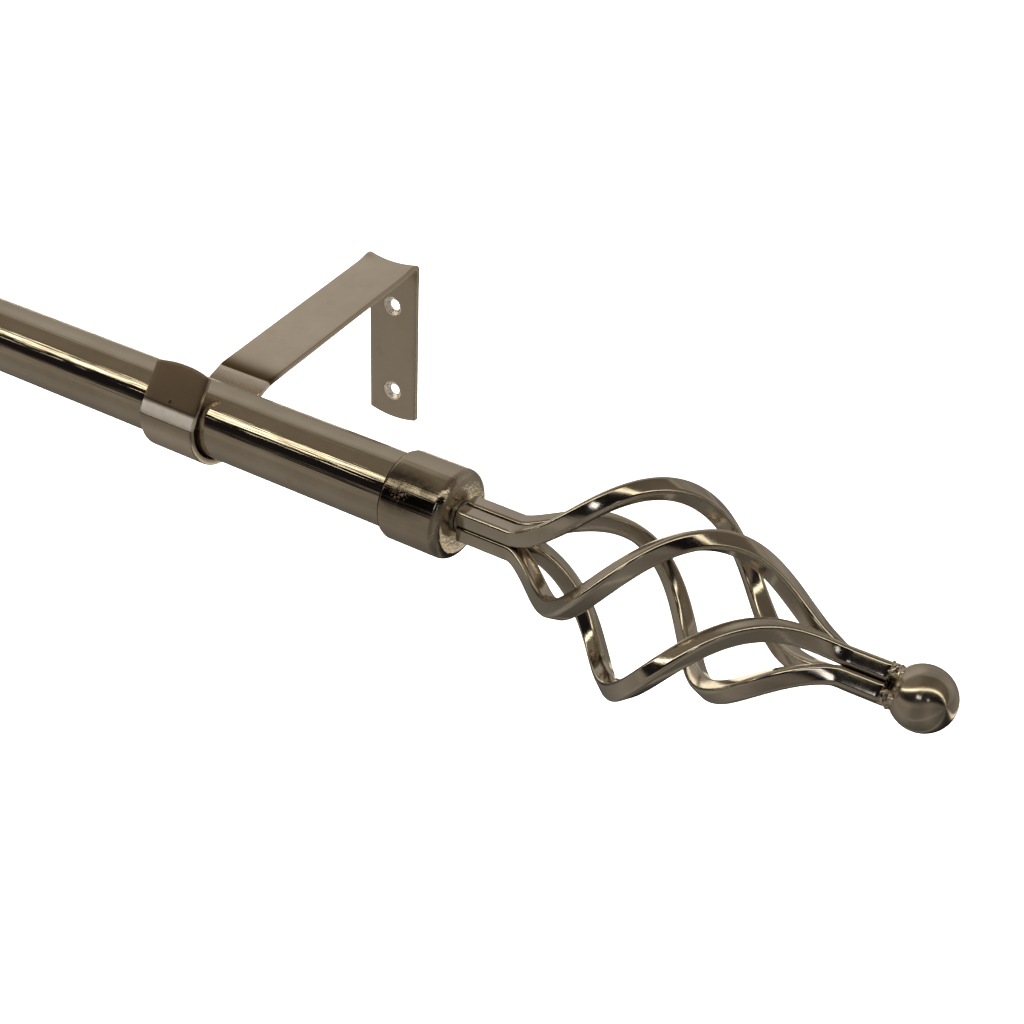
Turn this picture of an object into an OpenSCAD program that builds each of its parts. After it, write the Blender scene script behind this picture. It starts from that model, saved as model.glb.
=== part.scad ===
// Curtain rod with brackets: a round tube resting in two open hook brackets,
// closed at both ends by a cap that carries a twisted basket finial.
// Millimetres. +X along the rod, +Y into the wall, +Z up. The wall is the plane Y = 0.

/* [Rod] */
// Outside diameter of the tube
rod_d = 28; // [19:1:28]
// Wall thickness of the tube
rod_wall = 1; // [0.8:0.1:2]
// Length of the tube
rod_length = 1000; // [700:50:2000]
// Height of the rod's axis above the middle of the wall screws
rod_z = 24.1; // [20:0.1:30]
// Distance from the wall to the rod's axis
projection = 127; // [100:1:160]

/* [Brackets] */
// Distance from the rod's end to the middle of the bracket
overhang = 116; // [60:1:200]
// Width of the bent strip
strip_w = 25; // [20:1:30]
// Thickness of the bent strip
strip_t = 2.5; // [2:0.1:3]
// Inner radius of the hook's round bottom
hook_r = 15; // [15:0.1:18]
// Slope of the hook's mouth, the way the rod is lifted out
mouth_angle = 54; // [45:1:70]
// Length of the lip, the last flat of the hook
lip_length = 16; // [10:0.5:20]
// Slope of the short flat between the mouth and the arm
neck_angle = 22; // [10:1:40]
// Slope of the long arm
arm_angle = 8; // [0:1:15]
// Height of the wall plate's lower end, from the middle of the screws
plate_bottom = -34.6; // [-50:0.1:-30]
// Distance between the two wall screws
screw_pitch = 42; // [30:1:60]
// Diameter of the screw hole
screw_d = 5; // [4:0.1:6]
// Diameter of the countersink
sink_d = 8.6; // [7:0.1:10]

/* [Caps] */
// Outside diameter of the cap
cap_d = 33; // [31:0.5:40]
// Length of the cap
cap_length = 25; // [18:1:35]
// Length of the cap past the end of the tube
cap_past = 5; // [4:0.5:8]
// Thickness of the cap's end wall
cap_face = 2.5; // [1.5:0.1:4]
// Thickness of the liner's wall
liner_wall = 1.2; // [0.8:0.1:2]
// Diameter of the finial's stud
stud_d = 6; // [5:1:8]

/* [Finials] */
// Side of the square bars
bar_side = 6.4; // [5:0.1:8]
// Straight length of the bars beside the cap
root_length = 20.7; // [10:0.1:30]
// Length of the opened basket
basket_length = 119; // [90:1:150]
// Straight length of the bars beside the ball
tip_length = 13.2; // [8:0.1:25]
// Largest distance of the bars from the finial's axis
basket_r = 34; // [25:0.5:45]
// Turn of the bars from one end of the basket to the other
twist = 226; // [180:1:360]
// Diameter of the ball
ball_d = 21; // [18:0.5:30]

/* [Hidden] */
$fn = 96;
half = rod_length / 2;
bracket_x = half - overhang;

// strip, in the plane across the rod, measured from the rod's axis
hook_mid = [-0.4, 0.6];
mid_r = hook_r + strip_t / 2;
bend_r = 1.5;
end_r = 45;
lip_path = [[lip_length, 61.4 - mouth_angle, bend_r], [5.6, 28.6, bend_r], [1.7, 0, bend_r]];
lip_start = hook_mid - [mid_r, 0] - walk(lip_path, 180 + mouth_angle);
neck_path = [
  [0, 90 + mouth_angle, hook_r],
  [12, neck_angle - mouth_angle, bend_r],
  [7.2, arm_angle - neck_angle, bend_r]
];
arm_start = hook_mid - [mid_r, 0] + walk(neck_path, -90);
corner = walk([[0, -90 - arm_angle, bend_r]], arm_angle);
arm_run = (projection - strip_t / 2 - arm_start[0] - corner[0]) / cos(arm_angle);
plate_top = arm_start[1] + arm_run * sin(arm_angle) + corner[1] + rod_z;
plate_path = [[arm_run, -90 - arm_angle, bend_r], [plate_top - plate_bottom, 0, bend_r]];
strip_path = concat(lip_path, neck_path, plate_path);

// cap and finial, counted along X from the cap's outer face
bore_r = rod_d / 2 + 0.1 + liner_wall + 0.05;
plate_x0 = 0.1;
bars_x0 = 1.3;
basket_x0 = bars_x0 + root_length;
basket_x1 = basket_x0 + basket_length;
bars_x1 = basket_x1 + tip_length;
ball_x = bars_x1 + ball_d / 2 + 0.3;
root_r = (bar_side / 2 + 0.05) * sqrt(2);
bar_phase = 138;
steps = 72;

// ---- placing ----

// Cap and finial parts are drawn at the cap's outer face, pointing along +X.
module right_end() {
  translate([half + cap_past, -projection, rod_z])
    children();
}

module left_end() {
  translate([-half - cap_past, -projection, rod_z])
    rotate([0, 0, 180])
      children();
}

module along_x(x0, x1, r) {
  translate([x0, 0, 0])
    rotate([0, 90, 0])
      cylinder(h = x1 - x0, r = r);
}

// ---- bent strip ----

// A path is a list of steps: [straight length, turn, inner radius of the bend].
function bend_mid_r(step) = (step[1] < 0 ? -1 : 1) * (step[2] + strip_t / 2);
function ahead(h) = [cos(h), sin(h)];
function left(h) = [-sin(h), cos(h)];

// Where a path ends, seen from its start, when it sets off at heading h.
function walk(path, h, i = 0) =
  i == len(path) ? [0, 0] :
  let (turn = path[i][1])
  path[i][0] * ahead(h)
  + bend_mid_r(path[i]) * (left(h) - left(h + turn))
  + walk(path, h + turn, i + 1);

// Points along the middle of the strip, each with its heading.
function stations(path, p, h, i = 0) =
  i == len(path) ? [] :
  let (turn = path[i][1])
  let (r = bend_mid_r(path[i]))
  let (q = p + path[i][0] * ahead(h))
  let (n = ceil(abs(turn) / 3.2))
  let (bent = [for (k = [1 : 1 : n]) let (g = h + turn * k / n) [q + r * (left(h) - left(g)), g]])
  concat(
    path[i][0] > 0 ? [[q, h]] : [],
    bent,
    stations(path, q + r * (left(h) - left(h + turn)), h + turn, i + 1)
  );

module strip_side() {
  h = 180 + mouth_angle;
  line = concat([[lip_start, h]], stations(strip_path, lip_start, h));
  last = len(line) - 1;
  inner = [for (s = line) s[0] + strip_t / 2 * left(s[1])];
  outer = [for (i = [last : -1 : 0]) line[i][0] - strip_t / 2 * left(line[i][1])];
  polygon(concat(inner, outer));
}

// Cuts a flat end, at the origin and pointing along +X, to a shallow round.
module end_cut() {
  difference() {
    translate([-3, -strip_t, -strip_w])
      cube([6, 2 * strip_t, 2 * strip_w]);
    translate([-end_r, 0, 0])
      rotate([90, 0, 0])
        cylinder(h = 3 * strip_t, r = end_r, center = true);
  }
}

// A countersunk hole through the wall plate, at a height from the rod's axis.
module screw_hole(z) {
  sink = (sink_d - screw_d) / 2;
  translate([projection + 1, z, 0])
    rotate([0, -90, 0])
      cylinder(h = strip_t + 2, d = screw_d);
  translate([projection - strip_t + sink, z, 0])
    rotate([0, -90, 0])
      cylinder(h = sink + 0.01, d1 = screw_d, d2 = sink_d + 0.02);
}

module strip() {
  difference() {
    linear_extrude(height = strip_w, center = true)
      strip_side();
    translate([lip_start[0], lip_start[1], 0])
      rotate([0, 0, mouth_angle])
        end_cut();
    translate([projection - strip_t / 2, plate_bottom - rod_z, 0])
      rotate([0, 0, -90])
        end_cut();
    screw_hole(-rod_z - screw_pitch / 2);
    screw_hole(-rod_z + screw_pitch / 2);
  }
}

module bracket() {
  translate([0, -projection, rod_z])
    rotate([90, 0, 90])
      strip();
}

// ---- cap and its fixings ----

module cap() {
  difference() {
    along_x(-cap_length, 0, cap_d / 2);
    along_x(-cap_length - 1, -cap_face, bore_r);
    along_x(-cap_face - 1, 1, stud_d / 2 + 0.1);
  }
}

module liner() {
  difference() {
    along_x(-cap_length + 0.6, -cap_face - 1.5, bore_r - 0.05);
    along_x(-cap_length, 0, rod_d / 2 + 0.1);
  }
}

module washer() {
  difference() {
    along_x(-cap_face - 1.7, -cap_face - 0.1, stud_d);
    along_x(-cap_face - 3, 0, stud_d / 2 + 0.2);
  }
}

module nut() {
  difference() {
    translate([-cap_face - 6.7, 0, 0])
      rotate([0, 90, 0])
        cylinder(h = 5, d = 11.5, $fn = 6);
    along_x(-cap_face - 8, 0, stud_d / 2 + 0.05);
  }
}

module stud() {
  along_x(-cap_face - 10, plate_x0, stud_d / 2);
}

module root_plate() {
  along_x(plate_x0, bars_x0, bar_side);
}

// ---- basket ----

// Share of the basket passed at x, from 0 to 1.
function share(x) = min(1, max(0, (x - basket_x0) / basket_length));
function lean(s) = s + 0.2 * s * (1 - s);
function bar_r(s) = root_r + (basket_r - root_r) * pow(sin(180 * lean(s)), 1.5);
function bar_turn(s) = twist * (s - 0.2 * sin(360 * s) / (2 * PI) - 0.12 * s * (1 - s));

function bar_angle(x, k) = bar_phase - 90 * k - bar_turn(share(x));
function spoke(x, k) = [0, cos(bar_angle(x, k)), sin(bar_angle(x, k))];
function bar_mid(x, k) = [x, 0, 0] + bar_r(share(x)) * spoke(x, k);
function unit(v) = v / norm(v);

// The four corners of a bar at x: one corner of the square always faces the axis.
function bar_ring(x, k) =
  let (t = unit(bar_mid(x + 0.01, k) - bar_mid(x - 0.01, k)))
  let (e = spoke(x, k))
  let (u = unit(e - (e * t) * t))
  let (v = cross(t, u))
  let (c = bar_mid(x, k))
  let (d = bar_side / sqrt(2))
  [c + d * u, c + d * v, c - d * u, c - d * v];

function station(i) = i == 0 ? bars_x0 : i == steps ? bars_x1 :
  basket_x0 + basket_length * (i - 1) / (steps - 2);

module bar(k) {
  points = [for (i = [0 : steps]) each bar_ring(station(i), k)];
  walls = [
    for (i = [0 : steps - 1], j = [0 : 3])
      let (a = 4 * i + j, b = 4 * i + (j + 1) % 4)
      each [[a, a + 4, b + 4], [a, b + 4, b]]
  ];
  last = 4 * steps;
  ends = [[0, 1, 2], [0, 2, 3], [last + 2, last + 1, last], [last + 3, last + 2, last]];
  polyhedron(points = points, faces = concat(walls, ends));
}

module weld() {
  difference() {
    along_x(bars_x1, ball_x - 6, 8);
    translate([ball_x, 0, 0])
      sphere(d = ball_d + 0.04);
  }
}

module ball() {
  translate([ball_x, 0, 0])
    sphere(d = ball_d);
}

// ---- nodes ----

module rod_tube() {
  color([0.60, 0.56, 0.48])
    translate([0, -projection, rod_z])
      difference() {
        along_x(-half, half, rod_d / 2);
        along_x(-half - 1, half + 1, rod_d / 2 - rod_wall);
      }
}

module bracket_right() {
  color([0.66, 0.60, 0.50])
    translate([bracket_x, 0, 0])
      bracket();
}

module bracket_left() {
  color([0.66, 0.60, 0.50])
    translate([-bracket_x, 0, 0])
      bracket();
}

module cap_right() {
  color([0.62, 0.57, 0.49])
    right_end()
      cap();
}

module liner_right() {
  color([0.12, 0.12, 0.12])
    right_end()
      liner();
}

module washer_right() {
  color([0.70, 0.70, 0.70])
    right_end()
      washer();
}

module nut_right() {
  color([0.72, 0.72, 0.72])
    right_end()
      nut();
}

module stud_right() {
  color([0.68, 0.68, 0.68])
    right_end()
      stud();
}

module root_plate_right() {
  color([0.35, 0.32, 0.27])
    right_end()
      root_plate();
}

module bar_1_right() {
  color([0.62, 0.57, 0.49])
    right_end()
      bar(0);
}

module bar_2_right() {
  color([0.62, 0.57, 0.49])
    right_end()
      bar(1);
}

module bar_3_right() {
  color([0.62, 0.57, 0.49])
    right_end()
      bar(2);
}

module bar_4_right() {
  color([0.62, 0.57, 0.49])
    right_end()
      bar(3);
}

module weld_right() {
  color([0.45, 0.41, 0.35])
    right_end()
      weld();
}

module ball_right() {
  color([0.62, 0.57, 0.49])
    right_end()
      ball();
}

module cap_left() {
  color([0.62, 0.57, 0.49])
    left_end()
      cap();
}

module liner_left() {
  color([0.12, 0.12, 0.12])
    left_end()
      liner();
}

module washer_left() {
  color([0.70, 0.70, 0.70])
    left_end()
      washer();
}

module nut_left() {
  color([0.72, 0.72, 0.72])
    left_end()
      nut();
}

module stud_left() {
  color([0.68, 0.68, 0.68])
    left_end()
      stud();
}

module root_plate_left() {
  color([0.35, 0.32, 0.27])
    left_end()
      root_plate();
}

module bar_1_left() {
  color([0.62, 0.57, 0.49])
    left_end()
      bar(0);
}

module bar_2_left() {
  color([0.62, 0.57, 0.49])
    left_end()
      bar(1);
}

module bar_3_left() {
  color([0.62, 0.57, 0.49])
    left_end()
      bar(2);
}

module bar_4_left() {
  color([0.62, 0.57, 0.49])
    left_end()
      bar(3);
}

module weld_left() {
  color([0.45, 0.41, 0.35])
    left_end()
      weld();
}

module ball_left() {
  color([0.62, 0.57, 0.49])
    left_end()
      ball();
}

rod_tube();
bracket_right();
bracket_left();
cap_right();
liner_right();
washer_right();
nut_right();
stud_right();
root_plate_right();
bar_1_right();
bar_2_right();
bar_3_right();
bar_4_right();
weld_right();
ball_right();
cap_left();
liner_left();
washer_left();
nut_left();
stud_left();
root_plate_left();
bar_1_left();
bar_2_left();
bar_3_left();
bar_4_left();
weld_left();
ball_left();
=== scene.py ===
"""Curtain rod with brackets: the visible pieces, their materials, and a plain studio."""

import math
import random

import bmesh
import bpy
from mathutils import Matrix, Vector, noise


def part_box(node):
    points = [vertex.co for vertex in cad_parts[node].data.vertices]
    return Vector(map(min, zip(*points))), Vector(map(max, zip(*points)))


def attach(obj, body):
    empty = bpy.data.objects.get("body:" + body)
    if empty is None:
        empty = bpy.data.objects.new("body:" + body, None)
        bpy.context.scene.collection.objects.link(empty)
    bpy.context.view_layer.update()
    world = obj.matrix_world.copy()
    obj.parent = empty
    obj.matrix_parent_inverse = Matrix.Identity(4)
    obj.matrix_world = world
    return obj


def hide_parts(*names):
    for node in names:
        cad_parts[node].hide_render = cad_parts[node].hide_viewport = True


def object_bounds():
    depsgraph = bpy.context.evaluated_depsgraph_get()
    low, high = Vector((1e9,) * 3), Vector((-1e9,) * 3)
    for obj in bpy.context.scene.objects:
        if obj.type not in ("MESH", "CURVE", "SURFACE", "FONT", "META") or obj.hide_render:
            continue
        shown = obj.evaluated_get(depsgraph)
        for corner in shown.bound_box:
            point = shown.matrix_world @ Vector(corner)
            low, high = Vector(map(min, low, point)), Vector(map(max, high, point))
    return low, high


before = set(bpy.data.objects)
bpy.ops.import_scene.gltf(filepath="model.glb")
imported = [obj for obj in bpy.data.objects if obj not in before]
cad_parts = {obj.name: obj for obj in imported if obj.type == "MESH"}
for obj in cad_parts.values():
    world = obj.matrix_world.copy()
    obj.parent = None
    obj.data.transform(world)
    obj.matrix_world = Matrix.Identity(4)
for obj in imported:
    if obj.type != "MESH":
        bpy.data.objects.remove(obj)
cad_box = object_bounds()
scene = bpy.context.scene
MM = 0.001

# Places from the CAD frame, in metres.
rod_lo, rod_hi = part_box("rod_tube")
AXIS = Vector((0, (rod_lo.y + rod_hi.y) / 2, (rod_lo.z + rod_hi.z) / 2))
ROD_R = (rod_hi.z - rod_lo.z) / 2
ROD_HALF = rod_hi.x
cap_lo, cap_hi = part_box("cap_right")
CAP_OUT = cap_hi.x
CAP_LEN = cap_hi.x - cap_lo.x
CAP_R = (cap_hi.z - cap_lo.z) / 2
strip_lo, strip_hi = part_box("bracket_right")
BRACKET_X = (strip_lo.x + strip_hi.x) / 2
ball_lo, ball_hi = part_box("ball_right")
BALL_R = (ball_hi.z - ball_lo.z) / 2
BALL_X = (ball_lo.x + ball_hi.x) / 2 - CAP_OUT

ENDS = ("right", "left")


def end_matrix(end):
    """Places a part drawn at the cap's outer face, pointing along +X."""
    side = 1 if end == "right" else -1
    return Matrix.Translation((side * CAP_OUT, AXIS.y, AXIS.z)) @ Matrix.Rotation(
        0 if side > 0 else math.pi, 4, "Z"
    )


# ---------------------------------------------------------------- materials


class Nodes:
    """A few short words for building a node material."""

    def __init__(self, name):
        self.mat = bpy.data.materials.new(name)
        self.mat.use_nodes = True
        self.tree = self.mat.node_tree
        self.shader = self.tree.nodes["Principled BSDF"]
        self.place = self.add("ShaderNodeTexCoord").outputs["Object"]

    def add(self, kind, **values):
        node = self.tree.nodes.new(kind)
        for key, value in values.items():
            if hasattr(node, key):
                setattr(node, key, value)
            else:
                node.inputs[key].default_value = value
        return node

    def join(self, out, inp):
        self.tree.links.new(out, inp)

    def stretch(self, scale):
        node = self.add("ShaderNodeMapping")
        node.inputs["Scale"].default_value = scale
        self.join(self.place, node.inputs["Vector"])
        return node.outputs["Vector"]

    def noise(self, scale, detail=4.0, rough=0.55, stretch=None):
        node = self.add("ShaderNodeTexNoise", Scale=scale, Detail=detail, Roughness=rough)
        self.join(self.stretch(stretch) if stretch else self.place, node.inputs["Vector"])
        return node.outputs["Fac"]

    def attribute(self, name):
        return self.add("ShaderNodeAttribute", attribute_name=name).outputs["Fac"]

    def distance(self, spot, squeeze=None):
        """Distance from a spot, with X squeezed if asked."""
        node = self.add("ShaderNodeVectorMath", operation="DISTANCE")
        place = self.stretch((squeeze, 1.0, 1.0)) if squeeze else self.place
        self.join(place, node.inputs[0])
        node.inputs[1].default_value = ((squeeze or 1.0) * spot[0], spot[1], spot[2])
        return node.outputs["Value"]

    def ramp(self, value, stops):
        node = self.add("ShaderNodeValToRGB")
        parts = node.color_ramp.elements
        while len(parts) < len(stops):
            parts.new(0.5)
        for part, (at, colour) in zip(parts, stops):
            part.position = at
            part.color = (*colour, 1) if len(colour) == 3 else colour
        self.join(value, node.inputs["Fac"])
        return node.outputs["Color"]

    def map(self, value, lo, hi, to_lo, to_hi):
        node = self.add("ShaderNodeMapRange")
        for key, number in zip(("From Min", "From Max", "To Min", "To Max"), (lo, hi, to_lo, to_hi)):
            node.inputs[key].default_value = number
        self.join(value, node.inputs["Value"])
        return node.outputs["Result"]

    def math(self, kind, a, b):
        node = self.add("ShaderNodeMath", operation=kind)
        for i, value in enumerate((a, b)):
            if isinstance(value, (int, float)):
                node.inputs[i].default_value = value
            else:
                self.join(value, node.inputs[i])
        return node.outputs[0]

    def mix(self, fac, a, b):
        node = self.add("ShaderNodeMix", data_type="RGBA")
        for key, value in ((0, fac), (6, a), (7, b)):
            if isinstance(value, (int, float)):
                node.inputs[key].default_value = value
            elif isinstance(value, tuple):
                node.inputs[key].default_value = (*value, 1)
            else:
                self.join(value, node.inputs[key])
        return node.outputs[2]

    def bump(self, height, strength, distance, onto=None):
        node = self.add("ShaderNodeBump", Strength=strength, Distance=distance)
        self.join(height, node.inputs["Height"])
        if onto:
            self.join(onto, node.inputs["Normal"])
        return node.outputs["Normal"]

    def finish(self, colour, rough, normal, metallic=1.0):
        self.shader.inputs["Metallic"].default_value = metallic
        self.join(colour, self.shader.inputs["Base Color"])
        self.join(rough, self.shader.inputs["Roughness"])
        self.join(normal, self.shader.inputs["Normal"])
        return self.mat


# Painted highlight colour for the bars' corners, painted shade colour for the grooves between them,
# and the speckles' own colour.
CREAM = (1.0, 0.94, 0.80)
GROOVE_SHADE = (0.05, 0.035, 0.02)
FLECK = (0.80, 0.55, 0.38)

# The speckled patch fades out between these two distances, and the painted dark reflection round
# it between the other two. That painted patch is longer along X, by one over the squeeze.
FLECKS_FADE = (0.0022, 0.0042)
PAINTED_DARK_FADE = (0.0054, 0.0094)
PAINTED_DARK_SQUEEZE = 0.45


def shade(colour, share):
    """A darker version of a colour."""
    return tuple(share * c for c in colour)


def nickel(name, light, dark, rough_lo, rough_hi, lines, scuff=None, edges=False):
    """Warm nickel plate: cloudy tone, faint drawing lines along X, pits and stains.

    scuff is the middle of a small speckled patch with a painted dark reflection round it. edges
    paints a cream highlight where the edge attribute is 1, and shade in the grooves, where it is below
    0.
    """
    n = Nodes(name)
    tone = n.ramp(n.noise(38.0, 5.0), [(0.30, dark), (0.68, light)])
    grain = n.noise(1.0, 4.0, 0.6, stretch=(6.0, 620.0, 620.0))
    pitted = n.map(n.noise(1500.0, 2.0, 0.5), 0.70, 0.80, 0.0, 1.0)
    stain = n.map(n.noise(120.0, 6.0, 0.7), 0.60, 0.80, 0.0, 0.30)
    tone = n.mix(stain, tone, shade(dark, 0.55))
    tone = n.mix(n.math("MULTIPLY", pitted, 0.5), tone, shade(dark, 0.35))
    rough = n.map(n.noise(210.0, 6.0, 0.65), 0.25, 0.75, rough_lo, rough_hi)
    rough = n.math("ADD", rough, n.math("MULTIPLY", grain, lines * 0.06))
    normal = n.bump(grain, lines, 0.00032)
    normal = n.bump(n.noise(90.0, 3.0), 0.10, 0.0004, normal)
    if edges:
        # Painted highlight in cream along the corners, painted shade in the grooves between close
        # bars.
        edge = n.attribute("edge")
        groove = n.map(edge, -0.8, 0.0, 0.92, 0.0)
        edge = n.map(edge, 0.3, 1.0, 0.0, 0.45)
        tone = n.mix(edge, tone, CREAM)
        tone = n.mix(groove, tone, GROOVE_SHADE)
        rough = n.math("ADD", rough, n.math("MULTIPLY", edge, 0.14))
    if scuff:
        near = n.map(n.distance(scuff), *FLECKS_FADE, 1.0, 0.0)
        # Painted darkness round the speckles, standing in for a dark reflection; longer along X.
        painted_dark_patch = n.map(n.distance(scuff, squeeze=PAINTED_DARK_SQUEEZE), *PAINTED_DARK_FADE, 0.86, 0.0)
        blotches = n.map(n.noise(260.0, 5.0, 0.7), 0.34, 0.52, 0.60, 1.0)
        tone = n.mix(n.math("MULTIPLY", painted_dark_patch, blotches), tone, shade(dark, 0.16))
        flecks = n.map(n.noise(1500.0, 3.0, 0.7), 0.56, 0.62, 0.0, 1.0)
        spot = n.math("MULTIPLY", near, flecks)
        tone = n.mix(spot, tone, FLECK)
        rough = n.math("ADD", rough, n.math("MULTIPLY", spot, 0.30))
        normal = n.bump(spot, 0.5, 0.0002, normal)
    return n.finish(tone, rough, normal)


# Painted highlight and painted shade at the strip's bends, painted shade on the lip's first flat, and
# painted light on the hook's inner face, standing in for light reflected into the gap.
PAINTED_BEND_HIGHLIGHT = (1.0, 0.93, 0.85)
PAINTED_BEND_SHADE = (0.16, 0.10, 0.05)
PAINTED_LIP_SHADE = (0.186, 0.115, 0.073)
PAINTED_GAP_LIGHT = (0.42, 0.35, 0.27)


def satin(name, light, dark):
    """Tumbled satin plate.

    The tone attribute paints shade at the bends where below 0, and a highlight where above 0, rougher
    and flecked there. The inside attribute is 1 on the hook's inner face, painted lighter, and -1 on
    the lip's first flat, painted darker.
    """
    n = Nodes(name)
    painted_light, side = n.attribute("tone"), n.attribute("inside")
    tone = n.ramp(n.noise(45.0, 5.0), [(0.25, dark), (0.75, light)])
    smudge = n.map(n.noise(140.0, 6.0, 0.7), 0.60, 0.80, 0.0, 0.30)
    tone = n.mix(smudge, tone, shade(dark, 0.6))
    # Painted highlight where the tone attribute is above 0, painted shade where it is below 0.
    bright = n.map(painted_light, 0.0, 1.0, 0.0, 1.0)
    bright = n.math("MULTIPLY", bright, n.map(n.noise(420.0, 4.0), 0.38, 0.58, 0.84, 1.0))
    painted_shade_mask = n.map(painted_light, -1.0, 0.0, 1.0, 0.0)
    # Painted shade on the lip's first flat, and painted light on the hook's inner face.
    lip_shade_mask = n.map(side, -1.0, 0.0, 1.0, 0.0)
    inside = n.map(side, 0.0, 1.0, 0.0, 1.0)
    tone = n.mix(bright, tone, PAINTED_BEND_HIGHLIGHT)
    tone = n.mix(painted_shade_mask, tone, PAINTED_BEND_SHADE)
    tone = n.mix(n.math("MULTIPLY", lip_shade_mask, 0.85), tone, PAINTED_LIP_SHADE)
    tone = n.mix(inside, tone, PAINTED_GAP_LIGHT)
    rough = n.map(n.noise(120.0, 4.0), 0.3, 0.7, 0.22, 0.27)
    for part, more in ((bright, 0.30), (inside, 0.25), (lip_shade_mask, 0.12)):
        rough = n.math("ADD", rough, n.math("MULTIPLY", part, more))
    speck = n.noise(1900.0, 2.0, 0.6)
    fleck = n.math("MULTIPLY", speck, n.math("ADD", n.math("MULTIPLY", bright, 1.2), 0.04))
    normal = n.bump(fleck, 0.25, 0.00006)
    normal = n.bump(n.noise(260.0, 3.0), 0.05, 0.0002, normal)
    # The painted highlight and the painted light inside the hook are partly non-metallic.
    non_metal_share = n.math("ADD", n.math("MULTIPLY", bright, 0.09), n.math("MULTIPLY", inside, 0.12))
    mat = n.finish(tone, rough, normal)
    n.join(n.math("SUBTRACT", 1.0, non_metal_share), n.shader.inputs["Metallic"])
    return mat


def fresh_cut():
    """Plated countersinks, with a finer mottle than the strip and a little rougher."""
    n = Nodes("fresh_cut")
    tone = n.ramp(n.noise(500.0, 4.0), [(0.35, (0.66, 0.57, 0.47)), (0.62, (0.90, 0.82, 0.72))])
    rough = n.map(n.noise(900.0, 4.0), 0.3, 0.7, 0.22, 0.36)
    return n.finish(tone, rough, n.bump(n.noise(2400.0, 3.0), 0.3, 0.00008), metallic=0.84)


def braze():
    """Plated over with the rest, but lumpy: bright beads, and painted shade that makes the holes
    nearly black.
    """
    n = Nodes("braze")
    tone = n.ramp(n.noise(620.0, 5.0), [(0.30, (0.12, 0.09, 0.06)), (0.44, (0.86, 0.77, 0.64))])
    # Painted shade inside the holes.
    hole_shade = n.attribute("hole_shade")
    tone = n.mix(hole_shade, tone, (0.004, 0.004, 0.004))
    rough = n.map(n.noise(900.0, 4.0), 0.3, 0.7, 0.08, 0.26)
    rough = n.math("ADD", rough, n.math("MULTIPLY", hole_shade, 0.6))
    return n.finish(tone, rough, n.bump(n.noise(1000.0, 4.0), 0.35, 0.0003))


def zinc():
    """Zinc-plated steel of the fixings inside the cap."""
    n = Nodes("zinc")
    tone = n.ramp(n.noise(300.0, 5.0), [(0.35, (0.48, 0.49, 0.50)), (0.65, (0.72, 0.72, 0.70))])
    rough = n.map(n.noise(800.0, 4.0), 0.3, 0.7, 0.24, 0.44)
    return n.finish(tone, rough, n.bump(n.noise(1600.0, 3.0), 0.25, 0.0001))


def nylon():
    """Black moulded nylon of the liner."""
    n = Nodes("sleeve_nylon")
    tone = n.ramp(n.noise(260.0, 4.0), [(0.35, (0.016, 0.016, 0.017)), (0.65, (0.035, 0.034, 0.033))])
    rough = n.map(n.noise(900.0, 4.0), 0.3, 0.7, 0.42, 0.60)
    return n.finish(tone, rough, n.bump(n.noise(2200.0, 3.0), 0.3, 0.00008), metallic=0.0)


# The speckled patch is on the right-hand cap only, above its front.
SCUFF_X = 0.4875
SCUFF_TURN = math.radians(40)
SCUFF_WAY = Vector((0, -math.cos(SCUFF_TURN), math.sin(SCUFF_TURN)))
SCUFF = Vector((SCUFF_X, AXIS.y, AXIS.z)) + SCUFF_WAY * CAP_R

POLISHED = nickel("polished_nickel", (0.70, 0.62, 0.515), (0.58, 0.505, 0.405), 0.03, 0.08, 0.5)
SCUFFED = nickel("scuffed_nickel", (0.66, 0.58, 0.475), (0.54, 0.465, 0.37), 0.06, 0.11, 0.5, SCUFF)
BAR = nickel("bar_nickel", (0.76, 0.69, 0.60), (0.61, 0.54, 0.45), 0.08, 0.15, 0.08, edges=True)
BALL = nickel("ball_nickel", (0.73, 0.655, 0.55), (0.58, 0.51, 0.42), 0.14, 0.22, 0.04)
SATIN = satin("tumbled_nickel", (0.90, 0.80, 0.68), (0.80, 0.69, 0.56))
CUT = fresh_cut()
BRAZE = braze()
ZINC = zinc()
NYLON = nylon()


# ---------------------------------------------------------------- mesh helpers


def piece(name, bm, material, place=Matrix.Identity(4), sharp=35.0):
    """Turns a bmesh drawn in millimetres into an object, in metres."""
    bmesh.ops.recalc_face_normals(bm, faces=bm.faces)
    mesh = bpy.data.meshes.new(name)
    bm.to_mesh(mesh)
    bm.free()
    mesh.transform(place @ Matrix.Diagonal((MM, MM, MM, 1)))
    mesh.materials.append(material)
    for poly in mesh.polygons:
        poly.use_smooth = True
    mesh.set_sharp_from_angle(angle=math.radians(sharp))
    obj = bpy.data.objects.new(name, mesh)
    scene.collection.objects.link(obj)
    return obj


def stands_for(obj, node, body):
    """Hides the CAD node, and gives the piece its body."""
    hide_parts(node)
    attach(obj, body)


def bridge(bm, rings):
    """Joins closed rings of vertices, each to the next."""
    count = len(rings[0])
    for a, b in zip(rings, rings[1:]):
        for i in range(count):
            j = (i + 1) % count
            bm.faces.new((a[i], a[j], b[j], b[i]))


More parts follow.
